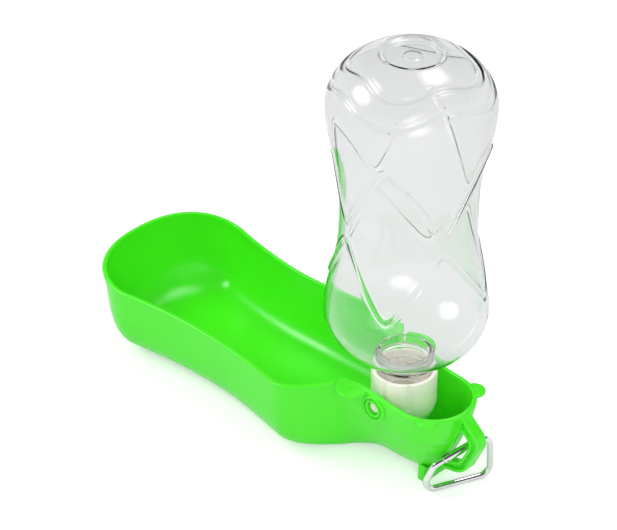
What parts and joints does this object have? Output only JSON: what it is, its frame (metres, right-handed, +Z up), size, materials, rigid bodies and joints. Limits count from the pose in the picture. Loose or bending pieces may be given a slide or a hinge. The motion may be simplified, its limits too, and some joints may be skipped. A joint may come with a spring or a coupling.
{
  "type": "dog travel water bottle",
  "caption": "Dog travel water bottle: a clear bottle turns upside down in a swivel cap over a boat-shaped drinking tray and folds into it, with a hanging loop and a spring hook.",
  "frame": {"origin": "centre of the tray's flat foot pad, on the surface it stands on", "axes": "+X along the tray towards the hanging loop, +Z up along the standing bottle"},
  "size_m": [0.2255, 0.08, 0.2082],
  "materials": {
    "green_plastic": "gloss",
    "clear_plastic": "clear gloss",
    "ivory_plastic": "satin",
    "grey_plastic": "satin",
    "white_rubber": "matte",
    "polished_aluminium": "polished",
    "pin_steel": "satin"
  },
  "bodies": {
    "tray": {"tray": "green_plastic"},
    "head": {"swivel_cap": "ivory_plastic", "neck_gasket": "white_rubber", "outlet_valve": "grey_plastic"},
    "bottle": {"bottle": "clear_plastic"},
    "hook": {"hook_frame": "polished_aluminium"},
    "gate": {"hook_gate": "polished_aluminium", "gate_rivet": "pin_steel", "gate_catch_pin": "pin_steel", "gate_plunger": "pin_steel", "gate_spring": "pin_steel"}
  },
  "joints": [
    {"name": "bottle_fold", "type": "hinge", "parent": "tray", "child": "head", "pos_m": [0.03375, 0, 0.03726], "axis": [0, -1, 0], "range_deg": [0, 88.6]},
    {"name": "bottle_screw", "type": "hinge", "parent": "head", "child": "bottle", "pos_m": [0.03375, 0, 0.03726], "axis": [0, 0, 1], "range_deg": [0, 450]},
    {"name": "hook_swing", "type": "hinge", "parent": "tray", "child": "hook", "pos_m": [0.06652, 0, 0.0198], "axis": [-0.3907, -0.9205, 0], "range_deg": [0, 85]},
    {"name": "gate_hinge", "type": "hinge", "parent": "hook", "child": "gate", "pos_m": [0.06431, -0.00484, 0.01767], "axis": [-0.9183, 0.3898, 0.0698], "range_deg": [0, 12], "stiffness_Nm_per_rad": 0.02, "springref_deg": -11.46}
  ]
}
